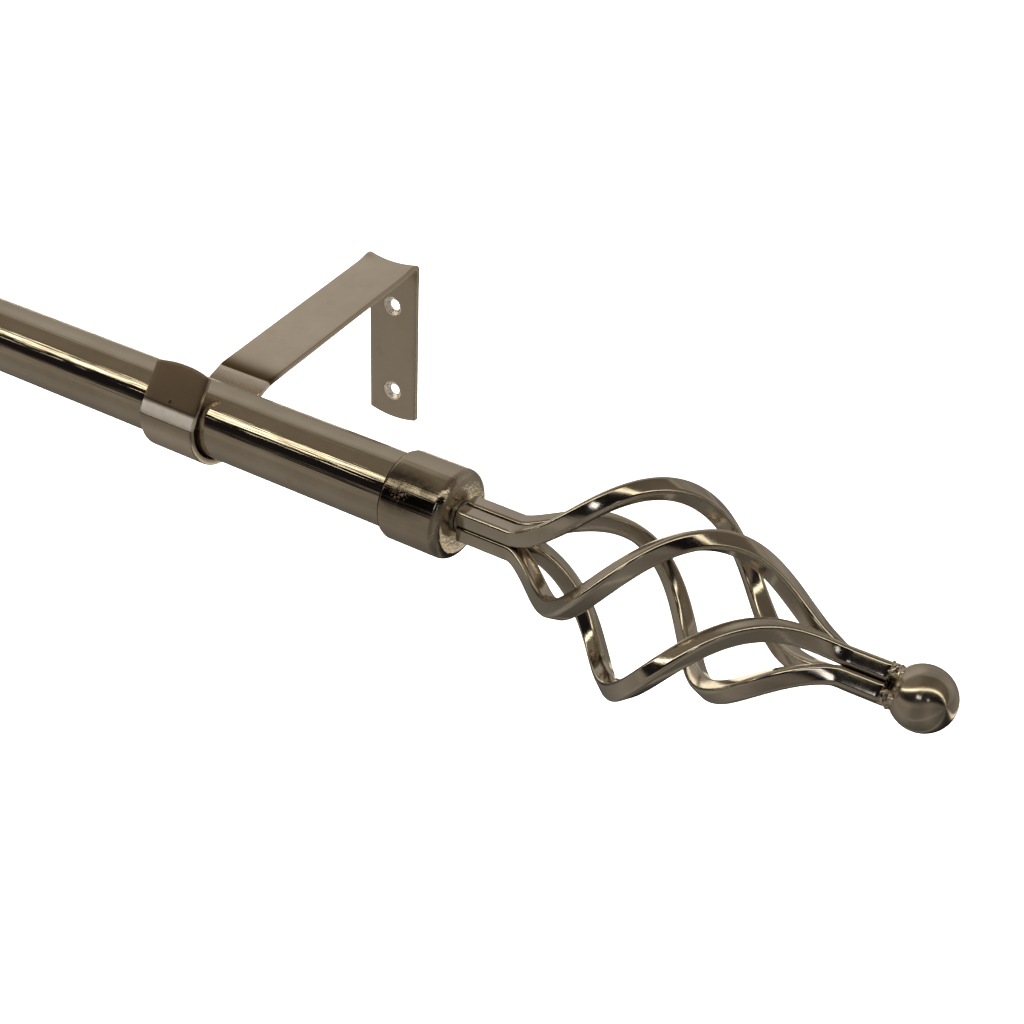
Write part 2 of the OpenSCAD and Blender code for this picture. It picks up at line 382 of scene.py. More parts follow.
def lathe(profile, segments=128, loop=True):
    """Turns (x, radius) points about the X axis, closed into a ring of points if loop is set.

    A radius of 0 is a pole.
    """
    bm = bmesh.new()
    turn = [2 * math.pi * i / segments for i in range(segments)]
    rings = []
    for x, r in profile:
        if r == 0:
            rings.append([bm.verts.new((x, 0, 0))])
        else:
            rings.append([bm.verts.new((x, r * math.cos(a), r * math.sin(a))) for a in turn])
    for a, b in zip(rings, rings[1:] + rings[:1] if loop else rings[1:]):
        for i in range(segments):
            j = (i + 1) % segments
            if len(a) == 1:
                bm.faces.new((a[0], b[j], b[i]))
            elif len(b) == 1:
                bm.faces.new((a[i], a[j], b[0]))
            else:
                bm.faces.new((a[i], a[j], b[j], b[i]))
    return bm


def corner(x, r, radius, start, end, steps=8):
    """Points of a rounded corner about (x, r), from one angle to another in degrees."""
    out = []
    for i in range(steps + 1):
        a = math.radians(start + (end - start) * i / steps)
        out.append((x + radius * math.cos(a), r + radius * math.sin(a)))
    return out


# ---------------------------------------------------------------- rod


TUBE_WALL = 1.0


def make_rod():
    """The tube, its ends rounded outside and inside."""
    half, r, inner = ROD_HALF / MM, ROD_R / MM, ROD_R / MM - TUBE_WALL
    out_r, in_r, rings = 0.25, 0.2, 12
    profile = corner(half - out_r, r - out_r, out_r, 90, 0, 4)
    profile += corner(half - in_r, inner + in_r, in_r, 0, -90, 4)
    profile += [(x, inner) for x in (half * 0.5, 0, -half * 0.5)]
    profile += corner(-half + in_r, inner + in_r, in_r, 270, 180, 4)
    profile += corner(-half + out_r, r - out_r, out_r, 180, 90, 4)
    profile += [(half * k / rings, r) for k in range(1 - rings, rings)]
    obj = piece("rod", lathe(profile, 192), POLISHED, Matrix.Translation(AXIS))
    stands_for(obj, "rod_tube", "rod")


# ---------------------------------------------------------------- brackets

# In millimetres and degrees. HOOK_MID is from the rod's axis, and PLATE_FOOT from the middle between
# the screws.
STRIP_T = 2.5
STRIP_W = 25.0
HOOK_R = 15.0
MOUTH = 54.0
HOOK_MID = (-0.4, 0.6)
ARM_ANGLE = 8
BEND_R = 1.5
PLATE_FOOT = -34.6
SCREW_PITCH = 42.0
SCREW_D = 5.0
SINK_D = 8.6
END_R = 45.0
STRIP_SHARP = 28.0

# Along the strip from the lip's tip: where its first two flats end, and the shade below them.
FIRST_FLAT = 16.4
SECOND_FLAT = 22.2
LIP_SHADE = 27.0
PUNCH_AT = 14.9
PUNCH_R = 0.75

# Headings fall along the strip. The last station above each of these is in the neck's last bend, and
# half way round the top bend.
ARM_STARTS = 375
TOP_BEND = 319

# The curl of the strip's edges at the top bend, and how far from a free end its bow reaches.
CURL_RUN = 5.0
CURL_EDGES = 1.4
CURL_MIDDLE = 0.4
BOW_RUN = 8

# The wall plane, from the rod's axis.
WALL = -AXIS.y / MM


def ahead(h):
    """The unit vector along a heading in degrees."""
    return Vector((math.cos(math.radians(h)), math.sin(math.radians(h))))


def left(h):
    """The unit vector to the left of a heading."""
    return Vector((-math.sin(math.radians(h)), math.cos(math.radians(h))))


def walk(path, h, p=Vector((0, 0)), out=None):
    """Follows [length, turn, inner radius] steps. Adds (point, heading) to out on the way."""
    for length, turn, inner in path:
        count = max(1, round(length / 1.5))
        for k in range(1, count + 1):
            if out is not None and length > 0:
                out.append((p + ahead(h) * length * k / count, h))
        p = p + ahead(h) * length
        r = (-1 if turn < 0 else 1) * (inner + STRIP_T / 2)
        mid = p + left(h) * r
        count = math.ceil(abs(turn) / 3)
        for k in range(1, count + 1):
            if out is not None:
                g = h + turn * k / count
                out.append((mid - left(g) * r, g))
        h += turn
        p = mid - left(h) * r
    return p, h


def strip_line():
    """The middle line of the strip round the rod's axis, lip first, as (point, heading).

    Headings run on past 360: 234 down the lip, 414 up the neck, 368 along the arm, 270 down the plate.
    """
    mid = HOOK_R + STRIP_T / 2
    lip = [(16, 61.4 - MOUTH, BEND_R), (5.6, 28.6, BEND_R), (1.7, 0, BEND_R)]
    join = Vector(HOOK_MID) - Vector((mid, 0))
    start = join - walk(lip, 180 + MOUTH)[0]
    neck = [(0, 90 + MOUTH, HOOK_R), (10.7, 22 - MOUTH, 6), (5.2, ARM_ANGLE - 22, 8)]
    arm_start = walk(neck, -90, join)[0]
    bend = walk([(0, -90 - ARM_ANGLE, BEND_R)], ARM_ANGLE)[0]
    arm = (WALL - STRIP_T / 2 - arm_start.x - bend.x) / math.cos(math.radians(ARM_ANGLE))
    plate_top = arm_start.y + arm * math.sin(math.radians(ARM_ANGLE)) + bend.y
    plate = [(arm, -90 - ARM_ANGLE, BEND_R), (plate_top - PLATE_FOOT + AXIS.z / MM, 0, BEND_R)]
    line = [(start, 180 + MOUTH)]
    walk(lip + neck + plate, 180 + MOUTH, start, line)
    return line


def bend_painted_light(s, neck):
    """Tone at a station of the strip, where neck is the end of its last bend before the arm.

    Painted highlight on the lip's second flat and up the neck, painted shade just below that flat
    and past the neck.
    """
    if s <= FIRST_FLAT:
        return 0.0
    if s < SECOND_FLAT:
        return 0.95 - 0.35 * max(0.0, s - SECOND_FLAT + 2) / 2
    if s < LIP_SHADE:
        return -0.45 * (LIP_SHADE - s) / (LIP_SHADE - SECOND_FLAT)
    if neck - 7 < s < neck - 0.6:
        return 0.55 * (s - neck + 7) / 6.4
    if neck - 0.6 <= s < neck + 14:
        return -math.exp(-(((s - neck - 0.6) / 5.0) ** 2))
    return 0.0


EDGE_R = 0.45


def strip_section(radius=EDGE_R, steps=4):
    """The strip's cross-section: (across, through) points of a rounded rectangle."""
    w, t = STRIP_W / 2 - radius, STRIP_T / 2 - radius
    out = []
    for cx, cy, a0 in ((w, t, 0), (-w, t, 90), (-w, -t, 180), (w, -t, 270)):
        for i in range(steps + 1):
            a = math.radians(a0 + 90 * i / steps)
            out.append((cx + radius * math.cos(a), cy + radius * math.sin(a)))
        if a0 == 0:
            out += [(w * k / 6, t + radius) for k in range(5, -6, -1)]
        if a0 == 180:
            out += [(w * k / 6, -t - radius) for k in range(-5, 6)]
    return out


def make_bracket(end):
    """The strip swept along its path, ends bowed and edges rounded, with a curl at the top bend."""
    side = 1 if end == "right" else -1
    line = strip_line()
    at = [0.0]
    for (p, _), (q, _) in zip(line, line[1:]):
        at.append(at[-1] + (q - p).length)
    top = max(i for i, (_, h) in enumerate(line) if h > TOP_BEND)
    neck = at[max(i for i, (_, h) in enumerate(line) if h > ARM_STARTS)]
    bm = bmesh.new()
    section = strip_section()

    def ring(i, back, bowed, shrink=0.0):
        """One ring at station i, moved back along the strip and bowed like a free end.

        The curl at the top bend stops at the wall plane.
        """
        p, h = line[i]
        curl = math.exp(-(((at[i] - at[top]) / CURL_RUN) ** 2))
        out = []
        for a, u in section:
            a -= math.copysign(shrink, a) * min(1.0, abs(a) / 11)
            bow = END_R - math.sqrt(END_R**2 - a * a)
            lift = curl * (CURL_EDGES * (a / (STRIP_W / 2)) ** 2 - CURL_MIDDLE)
            flat = u * (1 - shrink / (STRIP_T / 2))
            q = p + left(h) * (flat + lift) - ahead(h) * (back + bowed * bow)
            out.append(bm.verts.new((a, min(q.x, WALL), q.y)))
        return out

    last = len(line) - 1
    turns = [math.radians(18 * k) for k in range(5, -1, -1)]
    edge = [(EDGE_R * (1 - math.sin(t)), EDGE_R * (1 - math.cos(t))) for t in turns]
    rings = [ring(0, -back, -1, shrink) for back, shrink in edge]
    for i in range(1, last):
        start, finish = at[i] - at[0], at[last] - at[i]
        if min(start, finish) > 0.8:
            rings.append(ring(i, 0, max(0, 1 - finish / BOW_RUN) - max(0, 1 - start / BOW_RUN)))
    rings += [ring(last, back, 1, shrink) for back, shrink in edge[::-1]]
    bridge(bm, rings)
    bm.faces.new(rings[0][::-1])
    bm.faces.new(rings[-1])
    place = Matrix.Translation((side * BRACKET_X, AXIS.y, AXIS.z))
    obj = piece(f"bracket_strip_{end}", bm, SATIN, place, sharp=STRIP_SHARP)
    cut_holes(obj, side, line[0][0])
    paint_strip(obj, line, at, neck)
    stands_for(obj, f"bracket_{end}", "brackets")


def paint_strip(obj, line, at, neck):
    """Writes the tone and inside attributes, from the nearest station of the strip's middle line."""
    # The tone and inside attributes carry the strip's painted light and shade.
    tone = obj.data.attributes.new("tone", "FLOAT", "POINT")
    inside = obj.data.attributes.new("inside", "FLOAT", "POINT")
    for i, vert in enumerate(obj.data.vertices):
        spot = Vector((vert.co.y - AXIS.y, vert.co.z - AXIS.z)) / MM
        nearest = min(range(len(line)), key=lambda j: (line[j][0] - spot).length_squared)
        p, h = line[nearest]
        tone.data[i].value = bend_painted_light(at[nearest] + (spot - p).dot(ahead(h)), neck)
        # Painted light on the hook's inner face, where the gap to the rod would be lit by reflections.
        on_inner_face = (spot - p).dot(left(h)) > STRIP_T / 2 - 0.5
        if at[nearest] < neck - 12 and on_inner_face:
            inside.data[i].value = 1.0
        # Painted shade on the lip's first flat.
        elif at[nearest] < FIRST_FLAT:
            inside.data[i].value = -1.0


def cut_holes(obj, side, lip_start):
    """Two countersunk screw holes in the wall plate and a punch mark on the lip."""
    sink = (SINK_D - SCREW_D) / 2
    profile = [(-1, 0), (-1, SCREW_D / 2), (STRIP_T - sink, SCREW_D / 2)]
    profile += [(STRIP_T - 0.22, SINK_D / 2 - 0.2), (STRIP_T - 0.1, SINK_D / 2)]
    profile += [(STRIP_T - 0.03, SINK_D / 2 + 0.15), (STRIP_T + 0.01, SINK_D / 2 + 0.3)]
    profile += [(STRIP_T + 1, SINK_D / 2 + 0.3), (STRIP_T + 1, 0)]
    for k in (-1, 1):
        spin = Matrix.Rotation(math.radians(-90), 4, "Z")
        place = Matrix.Translation((side * BRACKET_X, 0, k * SCREW_PITCH / 2 * MM)) @ spin
        subtract(obj, piece("cutter", lathe(profile, 64, loop=False), CUT, place))
    h = 180 + MOUTH
    mark = lip_start + ahead(h) * PUNCH_AT - left(h) * (STRIP_T / 2 + 0.05)
    bm = bmesh.new()
    bmesh.ops.create_icosphere(bm, subdivisions=3, radius=PUNCH_R)
    place = Matrix.Translation((side * BRACKET_X, AXIS.y + mark.x * MM, AXIS.z + mark.y * MM))
    subtract(obj, piece("cutter", bm, SATIN, place))


def subtract(obj, cutter):
    """Cuts one object out of another and removes the cutter. The cut keeps the cutter's material."""
    mod = obj.modifiers.new("cut", "BOOLEAN")
    mod.operation = "DIFFERENCE"
    mod.solver = "EXACT"
    mod.material_mode = "TRANSFER"
    mod.object = cutter
    bpy.context.view_layer.objects.active = obj
    bpy.ops.object.modifier_apply(modifier=mod.name)
    bpy.data.objects.remove(cutter)
    obj.data.set_sharp_from_angle(angle=math.radians(STRIP_SHARP))


# ---------------------------------------------------------------- caps and fixings


def make_cap(end):
    """The shell: a bore open toward the rod, and a face with a round edge and a hole for the stud."""
    length, r = CAP_LEN / MM, CAP_R / MM
    bore, face, hole = 15.35, 2.5, 3.1
    nose, hole_out, hole_in, bore_end, mouth_in, mouth_out = 3.6, 0.5, 0.2, 0.8, 0.5, 1.6
    profile = corner(-nose, r - nose, nose, 90, 0, 14)
    profile += corner(-hole_out, hole + hole_out, hole_out, 0, -90, 4)
    profile += corner(-face + hole_in, hole + hole_in, hole_in, 270, 180, 3)
    profile += corner(-face - bore_end, bore - bore_end, bore_end, 0, 90, 5)
    profile += corner(-length + mouth_in, bore + mouth_in, mouth_in, 270, 180, 4)
    profile += corner(-length + mouth_out, r - mouth_out, mouth_out, 180, 90, 8)
    profile += [(-length * k / 6, r) for k in (5, 4, 3, 2)]
    obj = piece(f"cap_shell_{end}", lathe(profile, 160), SCUFFED, end_matrix(end))
    stands_for(obj, f"cap_{end}", f"cap_{end}")


def make_liner(end):
    """A split nylon sleeve with lengthwise ribs outside."""
    length = CAP_LEN / MM
    x0, x1, inner, outer, groove = -length + 0.6, -4.0, 14.1, 15.3, 0.28
    bm = bmesh.new()
    count, slot = 168, math.radians(5)
    rings = []
    for i in range(count + 1):
        a = slot / 2 + (2 * math.pi - slot) * i / count
        r = outer if (i // 3) % 4 == 0 else outer - groove
        loop = [(x0 + 0.4, inner), (x1 - 0.4, inner), (x1, inner + 0.35), (x1, r - 0.3)]
        loop += [(x1 - 0.3, r), (x0 + 0.3, r), (x0, r - 0.3), (x0, inner + 0.35)]
        rings.append([bm.verts.new((x, q * math.cos(a), q * math.sin(a))) for x, q in loop])
    bridge(bm, rings)
    bm.faces.new(rings[0][::-1])
    bm.faces.new(rings[-1])
    obj = piece(f"liner_sleeve_{end}", bm, NYLON, end_matrix(end))
    stands_for(obj, f"liner_{end}", f"cap_{end}")


def make_washer(end):
    """A flat ring under the nut."""
    x0, x1, outer, inner, edge, cut = -4.2, -2.6, 6.0, 3.2, 0.3, 0.1
    profile = corner(x1 - edge, outer - edge, edge, 90, 0, 4)
    profile += [(x1, inner + cut), (x1 - cut, inner), (x0 + cut, inner), (x0, inner + cut)]
    profile += corner(x0 + edge, outer - edge, edge, 180, 90, 4)
    obj = piece(f"washer_disc_{end}", lathe(profile, 64), ZINC, end_matrix(end))
    stands_for(obj, f"washer_{end}", f"finial_{end}")


def make_nut(end):
    """Hexagon with chamfered corners: the flats are cut back where the chamfer cone passes."""
    x0, x1, across, inner, cut, slope = -9.2, -4.2, 9.959, 3.05, 0.35, 1.7
    bm = bmesh.new()
    count = 96
    turn = [2 * math.pi * (i + 0.5) / count for i in range(count)]
    depths = (0.0, 0.15, 0.35, 0.7, 1.2)
    rings = [(x1 - depth, depth) for depth in depths]
    rings += [(x0 + depth, depth) for depth in depths[::-1]]
    loops = []
    for x, depth in rings:
        loop = []
        for a in turn:
            hexagon = across / 2 / math.cos((a - math.pi / 6) % (math.pi / 3) - math.pi / 6)
            cone = across / 2 - 0.1 + depth * slope
            r = min(hexagon, cone)
            loop.append(bm.verts.new((x, r * math.sin(a), r * math.cos(a))))
        loops.append(loop)
    for x, r in ((x0, inner + cut), (x0 + cut, inner), (x1 - cut, inner), (x1, inner + cut)):
        loops.append([bm.verts.new((x, r * math.sin(a), r * math.cos(a))) for a in turn])
    bridge(bm, loops + loops[:1])
    obj = piece(f"nut_hex_{end}", bm, ZINC, end_matrix(end), sharp=25)
    stands_for(obj, f"nut_{end}", f"finial_{end}")


def make_stud(end):
    """A threaded rod with a rounded nose, its ridge wound as a real helix."""
    x0, x1, outer, depth, pitch, nose_len, taper = -12.5, 0.1, 2.98, 0.55, 1.0, 0.6, 0.35
    bm = bmesh.new()
    around, per_turn = 40, 8
    rows = int((x1 - x0) / pitch * per_turn)
    loops = []
    for k in range(rows + 1):
        x = x0 + nose_len + (x1 - x0 - nose_len) * k / rows
        fade = min(1.0, (x - x0) / 1.2, max(0.0, (x1 - 0.6 - x) / 0.8))
        loop = []
        for i in range(around):
            a = 2 * math.pi * i / around
            phase = ((x - x0) / pitch + i / around) % 1.0
            groove = depth * fade * (1 - abs(2 * phase - 1))
            r = outer - groove - taper * max(0.0, 1 - (x - x0 - nose_len))
            loop.append(bm.verts.new((x, r * math.cos(a), r * math.sin(a))))
        loops.append(loop)
    nose = [bm.verts.new((x0, 0.8 * v.co.y, 0.8 * v.co.z)) for v in loops[0]]
    bridge(bm, [nose] + loops)
    bm.faces.new(nose[::-1])
    bm.faces.new(loops[-1])
    obj = piece(f"stud_thread_{end}", bm, ZINC, end_matrix(end), sharp=50)
    stands_for(obj, f"stud_{end}", f"finial_{end}")


def make_root_plate(end):
    """A disc with rounded edges that the four bars stand on."""
    x0, x1, r, edge = 0.1, BARS_X0, 5.85, 0.25
    profile = [(x0, 0), *corner(x0 + edge, r - edge, edge, 180, 90, 4)]
    profile += [*corner(x1 - edge, r - edge, edge, 90, 0, 4), (x1, 0)]
    obj = piece(f"root_disc_{end}", lathe(profile, 64, loop=False), ZINC, end_matrix(end))
    stands_for(obj, f"root_plate_{end}", f"finial_{end}")


# ---------------------------------------------------------------- basket finials

# In millimetres and degrees, along the finial from the cap's outer face.
BAR_SIDE = 6.4
BARS_X0 = 1.3
BASKET_X0 = BARS_X0 + 20.7
BASKET_LEN = 119.0
BASKET_X1 = BASKET_X0 + BASKET_LEN
BARS_X1 = BASKET_X1 + 13.2
BASKET_R = 34.0
TWIST = 226.0
ROOT_R = (BAR_SIDE / 2 + 0.05) * math.sqrt(2)
PHASE = 138.0
CORNER_STEPS = 6
BARS = 4
FOOT_R = 8.0


def bar_point(x, k):
    """Middle of bar k at x, and the direction from the finial's axis to it."""
    s = min(1.0, max(0.0, (x - BASKET_X0) / BASKET_LEN))
    lean = s + 0.2 * s * (1 - s)
    r = ROOT_R + (BASKET_R - ROOT_R) * math.sin(math.pi * lean) ** 1.5
    turn = TWIST * (s - 0.2 * math.sin(2 * math.pi * s) / (2 * math.pi) - 0.12 * s * (1 - s))
    a = math.radians(PHASE - 90 * k - turn)
    spoke = Vector((0, math.cos(a), math.sin(a)))
    return Vector((x, 0, 0)) + spoke * r, spoke


def bar_section(radius=1.5, steps=CORNER_STEPS):
    """Rounded square, its corners on the two section axes, as (out, round) points."""
    half = BAR_SIDE / 2 - radius
    out = []
    for cx, cy, a0 in ((half, half, 0), (-half, half, 90), (-half, -half, 180), (half, -half, 270)):
        for i in range(steps + 1):
            a = math.radians(a0 + 90 * i / steps)
            px, py = cx + radius * math.cos(a), cy + radius * math.sin(a)
            out.append(((px - py) / math.sqrt(2), (px + py) / math.sqrt(2)))
    return out


def make_bar(end, k):
    """One bar: straight root, twisted basket and straight tip, its two ends slightly rounded.

    The edge attribute is 1 on the middle of each rounded corner. Where the bars lie close, at the
    root and the tip, it falls to -1 in the grooves between them.
    """
    section = bar_section()
    bm = bmesh.new()
    edge = bm.verts.layers.float.new("edge")
    rings = []

    def ring(x, size=1.0):
        p, spoke = bar_point(x, k)
        t = (bar_point(x + 0.01, k)[0] - bar_point(x - 0.01, k)[0]).normalized()
        u = (spoke - t * spoke.dot(t)).normalized()
        v = t.cross(u)
        wave = 0.015 * noise.noise(Vector((x * 0.11, k * 7.3, 0)))
        made = [bm.verts.new(p + (u * a + v * b) * (size + wave)) for a, b in section]
        close = 1 - min(1.0, max(0.0, min(x - BASKET_X0 + 1, BASKET_X1 + 1 - x) / 9))
        for i, vert in enumerate(made):
            side, step = divmod(i, CORNER_STEPS + 1)
            turn = step / CORNER_STEPS
            deep = (turn, 0, 1 - turn, 0)[side]
            # Painted highlight along each corner, faded where the bars lie close; the groove's painted
            # shade is taken off below.
            painted_light = math.sin(math.pi * turn) * (1 - close * deep)
            vert[edge] = painted_light - close * min(1.0, 2 * deep)
        rings.append(made)

    root, basket, tip = 12, 156, 9
    ring(BARS_X0, 0.9)
    ring(BARS_X0 + 0.1, 0.955)
    ring(BARS_X0 + 0.35)
    for i in range(1, root):
        ring(BARS_X0 + (BASKET_X0 - BARS_X0) * i / root)
    for i in range(basket + 1):
        ring(BASKET_X0 + BASKET_LEN * i / basket)
    for i in range(1, tip + 1):
        ring(BASKET_X1 + (BARS_X1 - 0.5 - BASKET_X1) * i / tip)
    ring(BARS_X1 - 0.2, 0.96)
    ring(BARS_X1, 0.88)
    bridge(bm, rings)
    bm.faces.new(rings[0][::-1])
    bm.faces.new(rings[-1])
    obj = piece(f"basket_bar_{k + 1}_{end}", bm, BAR, end_matrix(end), sharp=60)
    stands_for(obj, f"bar_{k + 1}_{end}", f"finial_{end}")


def make_weld(end):
    """Braze between the bars and the ball: a lump at each bar, beads round them, gaps between.

    foot is where the ball is FOOT_R from the axis. The lumps are melted together by a remesh.
    """
    rng = random.Random(7)
    bm = bmesh.new()
    foot = BALL_X / MM - math.sqrt((BALL_R / MM) ** 2 - FOOT_R**2)
    start = math.radians(PHASE - TWIST)

    def lump(x, r, a, size, flat=1.0):
        made = bmesh.ops.create_icosphere(bm, subdivisions=3, radius=size)["verts"]
        for v in made:
            v.co.x *= flat
            v.co += Vector((x, r * math.cos(a), r * math.sin(a)))

    x = BARS_X1
    for k in range(BARS):
        a = start - math.pi / 2 * k
        groove = a + math.pi / 4
        lump(x + 1.3, 2.6, a, 2.9)
        lump(x + 0.8, 5.7, a, 2.6, 0.75)
        lump(x + 1.4, 7.1, a + rng.uniform(-0.1, 0.1), 1.6, 0.9)
        lump(foot - 0.7, 5.7, a, 2.3, 0.9)
        lump(foot - 0.1, 6.9, a + rng.uniform(-0.2, 0.2), 1.3)
        lump(foot + 0.5, 7.0, groove + rng.uniform(-0.06, 0.06), 0.9)
        for turn in (-0.33, 0.33):
            lump(x + rng.uniform(1.4, 2.4), 6.6, groove + turn, rng.uniform(0.8, 1.1))
            where = x + rng.uniform(-0.5, 0.2), rng.uniform(6.4, 7.6), groove + 1.5 * turn
            lump(*where, rng.uniform(0.6, 0.9))
    for _ in range(18):
        a = rng.uniform(0, 2 * math.pi)
        lump(foot + rng.uniform(-0.1, 0.6), rng.uniform(7.2, 8.0), a, rng.uniform(0.3, 0.6))
    obj = piece(f"braze_beads_{end}", bm, BRAZE, end_matrix(end), sharp=80)
    remesh = obj.modifiers.new("melt", "REMESH")
    remesh.mode = "VOXEL"
    remesh.voxel_size = 0.28 * MM
    remesh.use_smooth_shade = True
    smooth = obj.modifiers.new("flow", "SMOOTH")
    smooth.factor, smooth.iterations = 0.6, 3
    bpy.context.view_layer.objects.active = obj
    for name in ("melt", "flow"):
        bpy.ops.object.modifier_apply(modifier=name)
    sink_holes(obj, end_matrix(end), start + math.pi / 4)
    stands_for(obj, f"weld_{end}", f"finial_{end}")


def sink_holes(obj, place, first):
    """Sinks a round hole into the braze at each groove between two bars."""
    hole_r, middle, bottom_r, share = 2.4, BARS_X1 + 1.9, 2.5, 0.85
    back = place.inverted()
    # This attribute marks the inside of each hole, where the braze paints shade.
    hole_shade = obj.data.attributes.new("hole_shade", "FLOAT", "POINT")
    for vert in obj.data.vertices:
        p = back @ vert.co / MM
        r, a = math.hypot(p.y, p.z), math.atan2(p.z, p.y)
        for k in range(BARS):
            turn = (a - first - math.pi / 2 * k + math.pi) % (2 * math.pi) - math.pi
            away = math.hypot(p.x - middle, 0.9 * r * turn)
            if abs(turn) < 0.8 and away < hole_r and r > bottom_r:
                depth = min(1.0, (hole_r - away) / 0.7)
                hole_shade.data[vert.index].value = min(1.0, max(0.0, (hole_r - 0.3 - away) / 0.3))
                r -= (r - bottom_r) * share * depth * depth * (3 - 2 * depth)
        vert.co = place @ (Vector((p.x, r * math.cos(a), r * math.sin(a))) * MM)


def make_ball(end):
    """Turned ball, a touch flatter at the braze, with a faint turning line round its middle."""
    r, x, steps = BALL_R / MM, BALL_X / MM, 90
    profile = [(x - r, 0)]
    for i in range(1, steps):
        a = math.pi * i / steps
        flat = 0.03 * max(0.0, 1 - a / 0.28) + 0.02 * math.exp(-(((a - 1.62) / 0.03) ** 2))
        profile.append((x + (r - flat) * -math.cos(a), (r - flat) * math.sin(a)))
    profile.append((x + r, 0))
    obj = piece(f"ball_turned_{end}", lathe(profile, 128, loop=False), BALL, end_matrix(end), sharp=60)
    stands_for(obj, f"ball_{end}", f"finial_{end}")


make_rod()
for end in ENDS:
    make_bracket(end)
    make_cap(end)
    make_liner(end)
    make_washer(end)
    make_nut(end)
    make_stud(end)
    make_root_plate(end)
    for k in range(BARS):
        make_bar(end, k)
    make_weld(end)
    make_ball(end)


# ---------------------------------------------------------------- studio


# The camera's turn about Z, its height angle and its roll, in degrees, its place from the rod's axis
# at the right-hand bracket, and its lens and sensor in millimetres.
CAMERA_TURN = (30.72, 33.214, 3.098)
CAMERA_PLACE = Vector((0.3554, -0.3615, 0.2849))
LENS = 52.734375
SENSOR = 36.0


def make_camera():
    """Looks down at the right-hand end from the front right, a little rolled."""
    az, el, roll = (math.radians(v) for v in CAMERA_TURN)
    right = Vector((math.cos(az), math.sin(az), 0))
    up = Vector((-math.sin(az) * math.sin(el), math.cos(az) * math.sin(el), math.cos(el)))
    back = Vector((math.sin(az) * math.cos(el), -math.cos(az) * math.cos(el), math.sin(el)))
    r = right * math.cos(roll) + up * math.sin(roll)
    u = up * math.cos(roll) - right * math.sin(roll)
    cam = bpy.data.objects.new("camera", bpy.data.cameras.new("camera"))
    cam.data.sensor_width = SENSOR
    cam.data.lens = LENS
    spot = Vector((BRACKET_X, AXIS.y, AXIS.z)) + CAMERA_PLACE
    turn = Matrix((r, u, back)).transposed().to_4x4()
    cam.matrix_world = Matrix.Translation(spot) @ turn
    scene.collection.objects.link(cam)
    scene.camera = cam


# In metres: how far the floor lies below the object, where its sweep starts and the sweep's radius.
FLOOR_DROP = 0.75
FLOOR_R = 4.2
SWEEP_R = 1.8
WALL_TOP = 6.0


def make_floor():
    """A wide pale floor, well below the object, that sweeps up into a round backdrop."""
    profile = [(0.8, 0), (2.4, 0), (FLOOR_R, 0)]
    for a in (0.25, 0.5, 0.75, 1.0, 1.3, 1.57):
        profile.append((FLOOR_R + SWEEP_R * math.sin(a), SWEEP_R - SWEEP_R * math.cos(a)))
    profile += [(FLOOR_R + SWEEP_R, 3.5), (FLOOR_R + SWEEP_R, WALL_TOP)]
    bm = bmesh.new()
    turn = [2 * math.pi * i / 96 for i in range(96)]
    rings = [[bm.verts.new((r * math.cos(a), r * math.sin(a), z)) for a in turn] for r, z in profile]
    bm.faces.new(rings[0])
    bridge(bm, rings)
    bmesh.ops.recalc_face_normals(bm, faces=bm.faces)
    if bm.faces[0].normal.z < 0:
        bmesh.ops.reverse_faces(bm, faces=bm.faces)
    mesh = bpy.data.meshes.new("floor")
    bm.to_mesh(mesh)
    bm.free()
    n = Nodes("floor")
    tone = n.ramp(n.noise(1.5, 3.0), [(0.3, (0.90, 0.90, 0.90)), (0.7, (0.93, 0.93, 0.93))])
    n.finish(tone, n.map(n.noise(4.0), 0.3, 0.7, 0.85, 0.95), n.bump(n.noise(30.0), 0.02, 0.001), 0.0)
    n.shader.inputs["Specular IOR Level"].default_value = 0.1
    n.shader.inputs["Emission Color"].default_value = (1.0, 1.0, 1.0, 1.0)
    n.shader.inputs["Emission Strength"].default_value = 0.35
    mesh.materials.append(n.mat)
    for poly in mesh.polygons:
        poly.use_smooth = True
    floor = bpy.data.objects.new("floor", mesh)
    floor.location = (0.2, -0.2, cad_box[0].z - FLOOR_DROP)
    floor.visible_glossy = False
    scene.collection.objects.link(floor)


# What the metal sees: (height in degrees, colour) round the X axis, from the back horizon over the
# floor at -180 to the front horizon at 0, overhead at 90 and back again at 180.
WORLD_BANDS = (
    (-180, (0.30, 0.27, 0.23)),
    (-167, (0.24, 0.215, 0.18)),
    (-164, (1.5, 1.38, 1.1)),
    (-160, (1.5, 1.38, 1.1)),
    (-157, (0.03, 0.028, 0.025)),
    (-136, (0.04, 0.036, 0.03)),
    (-122, (0.13, 0.12, 0.10)),
    (-95, (0.16, 0.15, 0.13)),
    (-60, (0.235, 0.215, 0.185)),
    (-20, (0.20, 0.18, 0.15)),
    (-7, (0.26, 0.235, 0.195)),
    (4, (0.20, 0.175, 0.145)),
    (8, (0.012, 0.011, 0.012)),
    (47, (0.010, 0.009, 0.010)),
    (50, (3.4, 3.15, 2.45)),
    (54, (3.4, 3.15, 2.45)),
    (57, (0.16, 0.135, 0.10)),
    (80, (0.19, 0.16, 0.12)),
    (110, (0.17, 0.145, 0.11)),
    (115, (0.32, 0.285, 0.23)),
    (128, (0.40, 0.375, 0.34)),
    (180, (0.30, 0.27, 0.23)),
)

